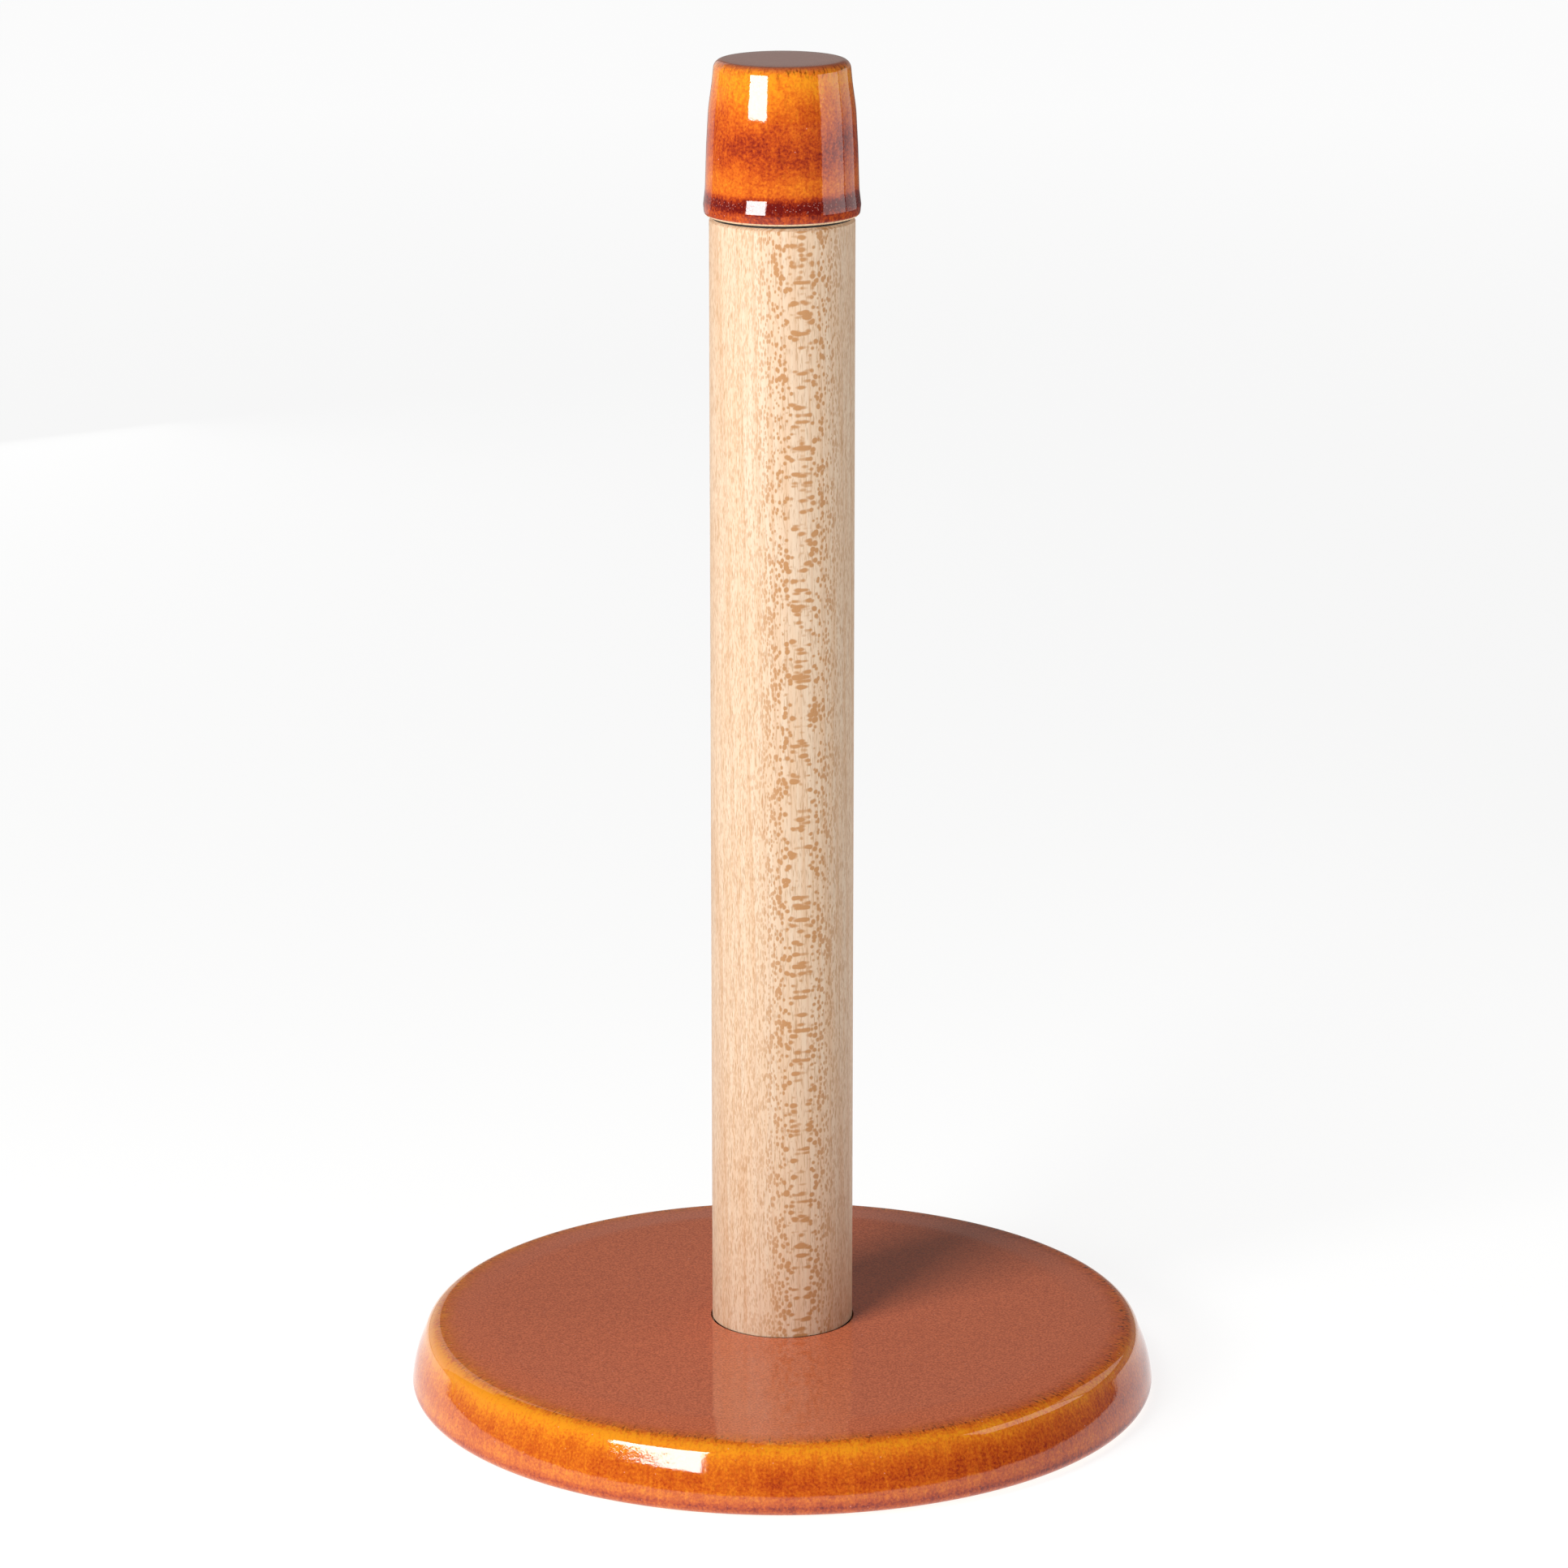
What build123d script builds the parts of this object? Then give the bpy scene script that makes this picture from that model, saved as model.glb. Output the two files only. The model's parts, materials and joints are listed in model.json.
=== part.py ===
from build123d import *
import math
import os

# A countertop paper towel holder: a glazed stoneware base, an upright beech post that carries the
# roll, and a glazed stoneware cap. One bolt clamps the base to the post from below. The cap sits on
# a turned tenon at the post's top end.
# Millimetres, +Z up. The origin is on the table, at the centre of the footprint.

# Overall
OVERALL_HEIGHT = 305.0
BASE_TOP_Z = 16.8
CAP_HEIGHT = 34.0
POST_R = 16.0

# Stoneware base, from the table up
FOOT_Z = 0.8  # the bare clay foot ring stands this far clear of the table, on its pads
FOOT_CORNER_R = 85.4  # before the lower rounding, which brings the widest point to about 85.2
FOOT_ROUNDING = 2.4
FOOT_RING_INNER_R = 65.0
BELLY_R = 84.7
BELLY_Z = 6.2
SHOULDER_R = 81.6
SHOULDER_DROP = 0.6
SHOULDER_ROUNDING = 2.4
FLAT_TOP_R = 70.5
RECESS_Z = 6.5  # ceiling of the hollow underside
BOSS_R = 21.0
BOSS_Z = 1.8
DRAFT = 2.0  # how far the hollow's walls lean over their height
COUNTERBORE_R = 11.3
COUNTERBORE_Z = 10.4
BOLT_HOLE_R = 3.5
SEAT_R = 16.25
SEAT_DEPTH = 1.4

# Feet
PAD_COUNT = 4
PAD_CIRCLE_R = 73.8
PAD_R = 5.5
PAD_POCKET_R = 5.8
PAD_POCKET_DEPTH = 2.2
PAD_TAPE_R = 5.2
PAD_TAPE_THICKNESS = 0.3

# Bolt stack under the base, M6
THREAD_R = 3.0
THREAD_ROOT_R = 2.45
THREAD_PITCH = 1.0
CUSHION_R = 10.0
CUSHION_THICKNESS = 1.0
FLAT_WASHER_R = 9.0
FLAT_WASHER_THICKNESS = 1.6
LOCK_WASHER_R = 5.9
LOCK_WASHER_THICKNESS = 1.6
LOCK_WASHER_GAP = 0.9
WASHER_HOLE_R = 3.2
HEAD_ACROSS_FLATS = 10.0
HEAD_HEIGHT = 4.0
BOLT_LENGTH = 25.0

# Threaded insert in the post's end grain
INSERT_CREST_R = 4.9
INSERT_ROOT_R = 4.3
INSERT_PITCH = 1.8
INSERT_LENGTH = 15.3
INSERT_SET_BACK = 0.4
INSERT_BORE_R = 3.05
INSERT_HEX_ACROSS_FLATS = 6.8
INSERT_HEX_DEPTH = 2.5
PILOT_R = 5.0
TIP_CLEARANCE_R = 3.4
TIP_CLEARANCE = 3.0

# Gaskets at the two ends of the post
SEAT_GASKET_R = 15.6
SEAT_GASKET_HOLE_R = 8.0
SEAT_GASKET_THICKNESS = 0.8
CAP_GASKET_R = 15.4
CAP_GASKET_THICKNESS = 0.6
EDGE_BREAK = 0.6  # chamfer on the post's two visible edges

# Tenon, its sealing rings and the cap
TENON_R = 11.6
TENON_LENGTH = 24.0
TENON_CHAMFER = 1.0
RING_GROOVE_R = 10.8
RING_GROOVE_WIDTH = 1.9
RING_SECTION_R = 0.75
RING_HEIGHTS = {"tenon_ring_lower": 6.0, "tenon_ring_upper": 17.5}  # above the post's shoulder
CAP_BORE_R = 12.3
BOND_THICKNESS = 2.0
BOND_R = 10.2

# Worked out from the above
CAP_BOTTOM_Z = OVERALL_HEIGHT - CAP_HEIGHT
SHOULDER_Z = CAP_BOTTOM_Z - CAP_GASKET_THICKNESS
TENON_TOP_Z = SHOULDER_Z + TENON_LENGTH
CAP_BORE_TOP_Z = TENON_TOP_Z + BOND_THICKNESS
SEAT_Z = BASE_TOP_Z - SEAT_DEPTH
POST_BOTTOM_Z = SEAT_Z + SEAT_GASKET_THICKNESS
FLAT_WASHER_TOP_Z = COUNTERBORE_Z - CUSHION_THICKNESS
LOCK_WASHER_TOP_Z = FLAT_WASHER_TOP_Z - FLAT_WASHER_THICKNESS
BOLT_BEARING_Z = LOCK_WASHER_TOP_Z - LOCK_WASHER_THICKNESS
BOLT_TIP_Z = BOLT_BEARING_Z + BOLT_LENGTH
INSERT_BOTTOM_Z = POST_BOTTOM_Z + INSERT_SET_BACK
INSERT_TOP_Z = INSERT_BOTTOM_Z + INSERT_LENGTH
POCKET_CEILING_Z = FOOT_Z + PAD_POCKET_DEPTH


def turned(*corners):
    """A solid of revolution about Z. Each corner is (radius, z) or (radius, z, rounding)."""
    points = [corner[:2] for corner in corners]
    roundings = [corner[2] if len(corner) > 2 else 0 for corner in corners]
    outline = FilletPolyline(*points, radius=roundings, close=True)
    return revolve(Plane.XZ * make_face(outline), Axis.Z)


def washer(outer_r, hole_r, low_z, thickness):
    """A flat ring, or a disc when hole_r is 0, from low_z up."""
    ring = Circle(outer_r) - Circle(hole_r) if hole_r else Circle(outer_r)
    return extrude(Pos(0, 0, low_z) * ring, thickness)


def hexagon(across_flats):
    return RegularPolygon(radius=across_flats / 2, side_count=6, major_radius=False)


def thread_ridges(crest_r, root_r, low_z, high_z, pitch):
    """Outline corners of a screw's ridges, one ridge for each pitch, from low_z to high_z."""
    count = int((high_z - low_z) / pitch)
    corners = []
    for turn in range(count):
        start = low_z + turn * pitch
        corners.append((root_r, start))
        corners.append((crest_r, start + 0.4 * pitch))
        corners.append((crest_r, start + 0.6 * pitch))
    corners.append((root_r, low_z + count * pitch))
    return corners


def pad_places():
    """The centres of the foot pads, spread evenly and clear of the X and Y axes."""
    return PolarLocations(PAD_CIRCLE_R, PAD_COUNT, start_angle=180 / PAD_COUNT).locations


def base_plate():
    plate = turned(
        (BOLT_HOLE_R, SEAT_Z),
        (SEAT_R, SEAT_Z, 0.4),
        (SEAT_R, BASE_TOP_Z, 0.3),
        (FLAT_TOP_R, BASE_TOP_Z, 150),
        (SHOULDER_R, BASE_TOP_Z - SHOULDER_DROP, SHOULDER_ROUNDING),
        (BELLY_R, BELLY_Z, 25),
        (FOOT_CORNER_R, FOOT_Z, FOOT_ROUNDING),
        (FOOT_RING_INNER_R, FOOT_Z, 1.2),
        (FOOT_RING_INNER_R - DRAFT, RECESS_Z, 2.5),
        (BOSS_R + DRAFT, RECESS_Z, 2.5),
        (BOSS_R, BOSS_Z, 1.2),
        (COUNTERBORE_R, BOSS_Z, 0.6),
        (COUNTERBORE_R, COUNTERBORE_Z, 0.6),
        (BOLT_HOLE_R, COUNTERBORE_Z),
    )
    pocket = extrude(Circle(PAD_POCKET_R), PAD_POCKET_DEPTH)
    for place in pad_places():
        plate -= place * Pos(0, 0, FOOT_Z) * pocket
    return plate


def foot_pad():
    """A moulded silicone bumper with a domed edge, from the table up to its adhesive disc."""
    top_z = POCKET_CEILING_Z - PAD_TAPE_THICKNESS
    return turned((0, 0), (PAD_R, 0, 0.7), (PAD_R, top_z, 0.3), (0, top_z))


def pad_tape():
    return washer(PAD_TAPE_R, 0, POCKET_CEILING_Z - PAD_TAPE_THICKNESS, PAD_TAPE_THICKNESS)


def cushion_washer():
    return washer(CUSHION_R, WASHER_HOLE_R, FLAT_WASHER_TOP_Z, CUSHION_THICKNESS)


def flat_washer():
    ring = washer(FLAT_WASHER_R, WASHER_HOLE_R, LOCK_WASHER_TOP_Z, FLAT_WASHER_THICKNESS)
    return chamfer(ring.edges().filter_by(GeomType.CIRCLE).sort_by(SortBy.RADIUS)[-2:], 0.25)


def lock_washer():
    """A split spring washer: a square-section ring with one slanted cut."""
    ring = washer(LOCK_WASHER_R, WASHER_HOLE_R, BOLT_BEARING_Z, LOCK_WASHER_THICKNESS)
    middle_z = BOLT_BEARING_Z + LOCK_WASHER_THICKNESS / 2
    cut = Box(LOCK_WASHER_R, LOCK_WASHER_GAP, 4 * LOCK_WASHER_THICKNESS)
    return ring - Pos(0.75 * LOCK_WASHER_R, 0, middle_z) * Rot(25, 0, 0) * cut


def post_bolt():
    """A hexagon bolt, head down, with its ridged shank in the post's insert."""
    head_z = BOLT_BEARING_Z - HEAD_HEIGHT
    corner_r = HEAD_ACROSS_FLATS / math.sqrt(3)
    head = extrude(Pos(0, 0, head_z) * hexagon(HEAD_ACROSS_FLATS), HEAD_HEIGHT)
    head &= turned(
        (0, head_z),
        (corner_r - 0.8, head_z),
        (corner_r, head_z + 0.5),
        (corner_r, BOLT_BEARING_Z),
        (0, BOLT_BEARING_Z),
    )
    shank = turned(
        (0, BOLT_BEARING_Z),
        (THREAD_R, BOLT_BEARING_Z),
        (THREAD_R, INSERT_BOTTOM_Z),
        *thread_ridges(THREAD_R, THREAD_ROOT_R, INSERT_BOTTOM_Z, BOLT_TIP_Z - 0.4, THREAD_PITCH),
        (0.75 * THREAD_R, BOLT_TIP_Z),
        (0, BOLT_TIP_Z),
    )
    return head + shank


def post_insert():
    """A brass sleeve, ridged outside for the wood, with a hexagon at its mouth to drive it."""
    sleeve = turned(
        (INSERT_BORE_R, INSERT_BOTTOM_Z),
        *thread_ridges(INSERT_CREST_R, INSERT_ROOT_R, INSERT_BOTTOM_Z, INSERT_TOP_Z, INSERT_PITCH),
        (INSERT_ROOT_R, INSERT_TOP_Z),
        (INSERT_BORE_R, INSERT_TOP_Z),
    )
    socket = extrude(Pos(0, 0, INSERT_BOTTOM_Z) * hexagon(INSERT_HEX_ACROSS_FLATS), INSERT_HEX_DEPTH)
    return sleeve - socket


def seat_gasket():
    return washer(SEAT_GASKET_R, SEAT_GASKET_HOLE_R, SEAT_Z, SEAT_GASKET_THICKNESS)


def beech_post():
    """A turned dowel: a pilot bore and tip clearance below, and a grooved tenon on top."""
    corners = [
        (0, BOLT_TIP_Z + TIP_CLEARANCE),
        (TIP_CLEARANCE_R, BOLT_TIP_Z + TIP_CLEARANCE),
        (TIP_CLEARANCE_R, INSERT_TOP_Z + 0.2),
        (PILOT_R, INSERT_TOP_Z + 0.2),
        (PILOT_R, POST_BOTTOM_Z),
        (POST_R - EDGE_BREAK, POST_BOTTOM_Z),
        (POST_R, POST_BOTTOM_Z + EDGE_BREAK),
        (POST_R, SHOULDER_Z - EDGE_BREAK),
        (POST_R - EDGE_BREAK, SHOULDER_Z),
        (TENON_R, SHOULDER_Z),
    ]
    for height in RING_HEIGHTS.values():
        low_z = SHOULDER_Z + height - RING_GROOVE_WIDTH / 2
        high_z = SHOULDER_Z + height + RING_GROOVE_WIDTH / 2
        corners.append((TENON_R, low_z))
        corners.append((RING_GROOVE_R, low_z))
        corners.append((RING_GROOVE_R, high_z))
        corners.append((TENON_R, high_z))
    corners.append((TENON_R, TENON_TOP_Z - TENON_CHAMFER))
    corners.append((TENON_R - TENON_CHAMFER, TENON_TOP_Z))
    corners.append((0, TENON_TOP_Z))
    return turned(*corners)


def tenon_ring(height):
    """A rubber ring that centres the cap on the tenon and lets the wood swell inside it."""
    section = Pos(RING_GROOVE_R + RING_SECTION_R, SHOULDER_Z + height) * Circle(RING_SECTION_R)
    return revolve(Plane.XZ * section, Axis.Z)


def cap_gasket():
    return washer(CAP_GASKET_R, CAP_BORE_R, SHOULDER_Z, CAP_GASKET_THICKNESS)


def cap_bond():
    """The pad of cured silicone adhesive between the tenon's end and the cap's crown."""
    return washer(BOND_R, 0, TENON_TOP_Z, BOND_THICKNESS)


def stoneware_cap():
    """A thick thimble: a barrel side, a small bead above the bare lip, and a rounded crown."""
    low_z = CAP_BOTTOM_Z
    return turned(
        (0, OVERALL_HEIGHT),
        (14.7, OVERALL_HEIGHT, 2.4),
        (15.75, low_z + 26.0, 40),
        (16.45, low_z + 17.0, 60),
        (16.85, low_z + 5.0, 8),
        (17.25, low_z + 2.3, 1.8),
        (17.0, low_z, 0.9),
        (CAP_BORE_R, low_z, 0.5),
        (CAP_BORE_R, CAP_BORE_TOP_Z, 1.8),
        (0, CAP_BORE_TOP_Z),
    )


def all_nodes():
    """Every piece by its node name, from the table up."""
    nodes = {"base_plate": base_plate()}
    for number, place in enumerate(pad_places(), start=1):
        nodes[f"foot_pad_{number}"] = place * foot_pad()
        nodes[f"foot_tape_{number}"] = place * pad_tape()
    nodes["cushion_washer"] = cushion_washer()
    nodes["flat_washer"] = flat_washer()
    nodes["lock_washer"] = lock_washer()
    nodes["post_bolt"] = post_bolt()
    nodes["post_insert"] = post_insert()
    nodes["seat_gasket"] = seat_gasket()
    nodes["beech_post"] = beech_post()
    nodes["cap_gasket"] = cap_gasket()
    for name, height in RING_HEIGHTS.items():
        nodes[name] = tenon_ring(height)
    nodes["cap_bond"] = cap_bond()
    nodes["stoneware_cap"] = stoneware_cap()
    return nodes


os.makedirs("parts", exist_ok=True)
for node, shape in all_nodes().items():
    export_step(shape, f"parts/{node}.step")
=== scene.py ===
"""Looks of a countertop paper towel holder: glazed stoneware base and cap on a beech post.

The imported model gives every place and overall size. Lengths are in millimetres, and are turned to
metres where a mesh or a pattern is made. Only the studio is in metres. The object is round about Z,
and -Y is its front.
"""

import json
import logging
import math
from collections.abc import Callable
from dataclasses import dataclass, field
from enum import Enum

import bpy
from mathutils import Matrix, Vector


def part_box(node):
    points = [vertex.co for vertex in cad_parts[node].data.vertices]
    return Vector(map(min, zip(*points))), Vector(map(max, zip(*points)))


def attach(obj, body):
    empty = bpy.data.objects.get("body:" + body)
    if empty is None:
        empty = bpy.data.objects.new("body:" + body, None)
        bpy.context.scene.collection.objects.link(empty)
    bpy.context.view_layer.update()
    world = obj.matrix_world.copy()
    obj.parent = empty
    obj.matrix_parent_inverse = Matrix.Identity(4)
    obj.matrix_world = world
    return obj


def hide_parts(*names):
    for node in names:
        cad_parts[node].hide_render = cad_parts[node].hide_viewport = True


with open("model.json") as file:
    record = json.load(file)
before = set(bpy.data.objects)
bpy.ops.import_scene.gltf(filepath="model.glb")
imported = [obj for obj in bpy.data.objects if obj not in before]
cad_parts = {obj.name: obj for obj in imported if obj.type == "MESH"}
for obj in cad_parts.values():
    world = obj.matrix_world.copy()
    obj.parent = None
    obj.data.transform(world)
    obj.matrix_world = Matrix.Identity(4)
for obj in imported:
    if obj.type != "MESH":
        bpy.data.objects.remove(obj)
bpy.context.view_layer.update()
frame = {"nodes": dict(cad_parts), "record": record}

LOG = logging.getLogger("towel_holder")
MM = 0.001
BODY = "root"
ON_AXIS = 1e-6  # a ring narrower than this is a point
HAIR = 0.1  # a margin, in millimetres, that keeps a height test clear of the face it names
WAVE_RADIANS = 20  # a band pattern turns this many radians in one unit of its scale

Tree = bpy.types.NodeTree
Socket = bpy.types.NodeSocket
Material = bpy.types.Material
Colour = tuple[float, float, float, float]
Sizes = tuple[float, float, float]
Ring = tuple[float, float, float]
Stops = tuple[tuple[float, float], ...]
Lobes = tuple[tuple[int, float, float], ...]
Coat = Callable[[float, float], tuple[float, float]]
Shift = Callable[[float, float], float]


class Wear(Enum):
    """How far a potted piece falls short of round, in millimetres, by how it was shaped."""

    THROWN = 0.22
    CAST = 0.066


class Seen(Enum):
    """Which rays a studio light answers to."""

    IN_GLOSS = "in gloss"
    FILL_ONLY = "fill only"


@dataclass(frozen=True)
class Span:
    """The range of a pattern's value that counts, and the range that it is spread over."""

    low: float
    high: float
    start: float = 0.0
    end: float = 1.0

    def settings(self) -> dict[str, float]:
        """The span as a map range node's settings."""
        return {"From Min": self.low, "From Max": self.high, "To Min": self.start, "To Max": self.end}


def linear(code: str) -> Colour:
    """Turns an sRGB hex colour to Blender's linear colour, by the sRGB curve.

    Args:
        code: a # and six hex digits.

    Returns:
        The linear red, green and blue, fully opaque.
    """
    shares = [int(code.lstrip("#")[i : i + 2], 16) / 255 for i in (0, 2, 4)]
    red, green, blue = (
        share / 12.92 if share <= 0.04045 else ((share + 0.055) / 1.055) ** 2.4 for share in shares
    )
    return red, green, blue, 1.0


def add_node(
    tree: Tree,
    kind: str,
    settings: dict[str | int, object] | None = None,
    links: dict[str | int, Socket] | None = None,
) -> bpy.types.Node:
    """Adds one shader node.

    Args:
        tree: the node tree.
        kind: the node's type, without its ShaderNode prefix.
        settings: values by input socket (name or number) or by attribute. "stops" fills a ramp.
        links: output sockets, by the input socket they go to.

    Returns:
        The new node.
    """
    node = tree.nodes.new("ShaderNode" + kind)
    for key, value in (settings or {}).items():
        if key == "stops":
            ramp = node.color_ramp.elements
            while len(ramp) < len(value):
                ramp.new(0.5)
            for stop, (place, colour) in zip(ramp, value):
                stop.position = place
                stop.color = linear(colour) if isinstance(colour, str) else (colour, colour, colour, 1)
        elif isinstance(key, int) or key in node.inputs:
            node.inputs[key].default_value = value
        else:
            setattr(node, key, value)
    for key, socket in (links or {}).items():
        tree.links.new(socket, node.inputs[key])
    return node


def new_material(name: str) -> tuple[Material, Tree]:
    """Makes an empty node material.

    Args:
        name: the finish's plain name.

    Returns:
        The material and its emptied node tree.
    """
    material = bpy.data.materials.new(name)
    material.use_nodes = True
    material.node_tree.nodes.clear()
    return material, material.node_tree


def finish_surface(tree: Tree, settings: dict[str, object], links: dict[str, Socket]) -> None:
    """Ends a material with its principled surface and output.

    Args:
        tree: the material's tree.
        settings: constants for the surface.
        links: what drives the surface's other inputs.
    """
    surface = add_node(tree, "BsdfPrincipled", settings, links)
    add_node(tree, "OutputMaterial", {}, {"Surface": surface.outputs[0]})


def per_mm(size: float) -> float:
    """The scale of a pattern whose features are this many millimetres across."""
    return 1 / (size * MM)


def relief(height_mm: float) -> dict[str, float]:
    """The settings of a bump this many millimetres high."""
    return {"Strength": 1.0, "Distance": height_mm * MM}


@dataclass(frozen=True)
class Crystals:
    """One growth of pin-prick crystals: how far apart they are, how wide, and how strong by depth.

    The width is the part of a cell that a crystal fills, and its edge fades over the outer part of it.
    """

    spacing_mm: float
    width: float
    by_depth: Stops
    solid_part: float = 0.6

    def span(self) -> Span:
        """How a crystal fades from its middle outwards."""
        return Span(self.width * self.solid_part, self.width, 1.0, 0.0)


@dataclass(frozen=True)
class BreakingGlaze:
    """Amber and rust reaction glaze on stoneware, fired to a gloss.

    An iron glaze breaks yellow where it runs thin over an edge, mottles orange and burnt down a side,
    goes plum where it pools, and lies a mauve rust on a level face, where fine crystals veil it. Three
    attributes of the mesh say where: "glaze" is its depth, from 0 (thin) to 1 (pooled), "level" tells a
    level face (1) from a side (0), and "run" is the distance down the form, which the runs follow.
    IOR 1.55 and a roughness of about 0.04 are typical of a glossy glaze. Its grain, flecks and crystals
    are drawn a little coarser than real ones, so that they show.
    """

    name: str
    rim_radius: float
    thin: str = "#F0951F"
    amber: str = "#E67C1E"
    orange: str = "#D4641A"
    burnt: str = "#BF4C16"
    rust: str = "#983016"
    plum: str = "#6A1410"
    level: str = "#E47C52"
    level_shade: str = "#BA5C3D"
    iron: str = "#4A2006"
    crystal: str = "#EAAFA4"
    ior: float = 1.55
    roughness: float = 0.04
    # painted shade: how much deeper, and so darker, the glaze is made towards the right, away from the key
    shade_to_right: float = 0.13
    streak_share: float = 0.42
    grain_share: float = 0.95
    cloud_share: float = 0.4
    level_blur: float = 0.3
    grain_mm: float = 0.6
    noise_roughness: float = 0.6
    run_mm: float = 1.3
    run_stretch: float = 5.0
    cloud_mm: float = 8.0
    speckle_mm: float = 0.45
    speckle_range: tuple[float, float] = (0.32, 0.66)
    fleck_mm: float = 0.6
    fleck_stretch: float = 2.4
    fleck_span: Span = Span(0.52, 0.66, 0.0, 0.85)
    fleck_by_level: Stops = ((0.0, 0.16), (0.06, 0.4), (0.22, 0.9), (0.5, 0.45), (0.75, 0.0))
    # painted shade: the flecks thin out to the left and thicken to the right, away from the key
    fleck_crowd_as_shade: tuple[float, float] = (0.65, 1.35)
    crystals: tuple[Crystals, ...] = (
        Crystals(2.6, 0.06, ((0.0, 0.6), (1.0, 0.6))),
        Crystals(0.55, 0.28, ((0.0, 0.0), (0.84, 0.0), (0.95, 0.34), (1.0, 0.4))),
    )
    peel_mm: float = 2.4
    peel_relief_mm: float = 0.014
    grain_relief_mm: float = 0.007

    def material(self) -> Material:
        """Builds the glaze.

        Returns:
            The glaze as a material.
        """
        material, tree = new_material(self.name)
        place = add_node(tree, "TexCoord").outputs["Object"]
        depth, level, run = (
            add_node(tree, "Attribute", {"attribute_name": label}).outputs["Fac"]
            for label in ("glaze", "level", "run")
        )
        streaks = self.flowing(tree, place, run, self.run_mm, self.run_stretch)
        grain = self.even(tree, place, self.grain_mm, detail=2.0)
        clouds = self.even(tree, place, self.cloud_mm, detail=3.0)
        # painted shade: the glaze is deepened, and so darkened, towards the right
        depth = self.painted_shade_to_right(tree, place, depth)
        mottle = ((streaks, self.streak_share), (grain, self.grain_share), (clouds, self.cloud_share))
        wander = self.weighted_sum(tree, depth, mottle)
        side = add_node(tree, "ValToRGB", {"stops": self.side_stops()}, {"Fac": wander}).outputs["Color"]
        speckle = self.even(tree, place, self.speckle_mm, detail=1.0)
        face_stops = tuple(zip(self.speckle_range, (self.level_shade, self.level)))
        face = add_node(tree, "ValToRGB", {"stops": face_stops}, {"Fac": speckle}).outputs["Color"]
        share = self.weighted_sum(tree, level, ((clouds, self.level_blur),))
        share = add_node(
            tree, "MapRange", {"interpolation_type": "SMOOTHSTEP"}, {"Value": share}
        ).outputs[0]
        colour = add_node(
            tree, "MixRGB", {}, {"Fac": share, "Color1": side, "Color2": face}
        ).outputs["Color"]
        colour = self.with_iron(tree, place, run, level, colour)
        colour = self.with_crystals(tree, place, depth, colour)
        finish_surface(
            tree,
            {"IOR": self.ior, "Roughness": self.roughness, "Metallic": 0.0},
            {"Base Color": colour, "Normal": self.peel(tree, place, grain)},
        )
        return material

    def side_stops(self) -> tuple[tuple[float, str], ...]:
        """The glaze's colours down a side, by its depth."""
        return (
            (0.0, self.thin),
            (0.2, self.amber),
            (0.4, self.orange),
            (0.6, self.burnt),
            (0.8, self.rust),
            (1.0, self.plum),
        )

    def even(self, tree: Tree, place: Socket, size_mm: float, detail: float) -> Socket:
        """Noise with features of one size in every direction.

        Args:
            tree: the material's tree.
            place: the surface point.
            size_mm: the features' size in millimetres.
            detail: octaves of finer noise.

        Returns:
            The noise socket.
        """
        settings = {"Scale": per_mm(size_mm), "Detail": detail, "Roughness": self.noise_roughness}
        return add_node(tree, "TexNoise", settings, {"Vector": place}).outputs["Fac"]

    def flowing(self, tree: Tree, place: Socket, run: Socket, across_mm: float, stretch: float) -> Socket:
        """Noise that is fine around the form and longer down it, as glaze runs are.

        Args:
            tree: the material's tree.
            place: the surface point.
            run: the distance down the form.
            across_mm: the features' width in millimetres.
            stretch: how many times longer than wide they are.

        Returns:
            The noise socket.
        """
        rim = self.rim_radius * MM
        flat = add_node(tree, "VectorMath", {"operation": "MULTIPLY", 1: (1, 1, 0)}, {0: place}).outputs[0]
        around = add_node(tree, "VectorMath", {"operation": "NORMALIZE"}, {0: flat}).outputs[0]
        around = add_node(tree, "VectorMath", {"operation": "SCALE", "Scale": rim}, {0: around}).outputs[0]
        slowed = add_node(tree, "Math", {"operation": "DIVIDE", 1: stretch}, {0: run}).outputs[0]
        along = add_node(tree, "CombineXYZ", {}, {"Z": slowed}).outputs[0]
        vector = add_node(tree, "VectorMath", {"operation": "ADD"}, {0: around, 1: along}).outputs[0]
        return self.even(tree, vector, across_mm, detail=2.5)

    def painted_shade_to_right(self, tree: Tree, place: Socket, depth: Socket) -> Socket:
        """Deepens the glaze towards the right, away from the key light, so that side is darker: painted
        shade.

        Args:
            tree: the material's tree.
            place: the surface point.
            depth: the glaze's depth.

        Returns:
            The new depth socket.
        """
        # painted shade: the depth grows with X, to the right, away from the key light
        across = add_node(tree, "SeparateXYZ", {}, {"Vector": place}).outputs["X"]
        share = self.shade_to_right / (self.rim_radius * MM)
        settings = {"operation": "MULTIPLY_ADD", 1: share}
        return add_node(tree, "Math", settings, {0: across, 2: depth}).outputs[0]

    def weighted_sum(self, tree: Tree, start: Socket, parts: tuple[tuple[Socket, float], ...]) -> Socket:
        """Adds centred noises to a value.

        Args:
            tree: the material's tree.
            start: the value's socket.
            parts: pairs of a noise socket and its weight.

        Returns:
            The sum's socket.
        """
        total = start
        for socket, weight in parts:
            centred = add_node(tree, "Math", {"operation": "SUBTRACT", 1: 0.5}, {0: socket}).outputs[0]
            settings = {"operation": "MULTIPLY_ADD", 1: weight}
            total = add_node(tree, "Math", settings, {0: centred, 2: total}).outputs[0]
        return total

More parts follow.
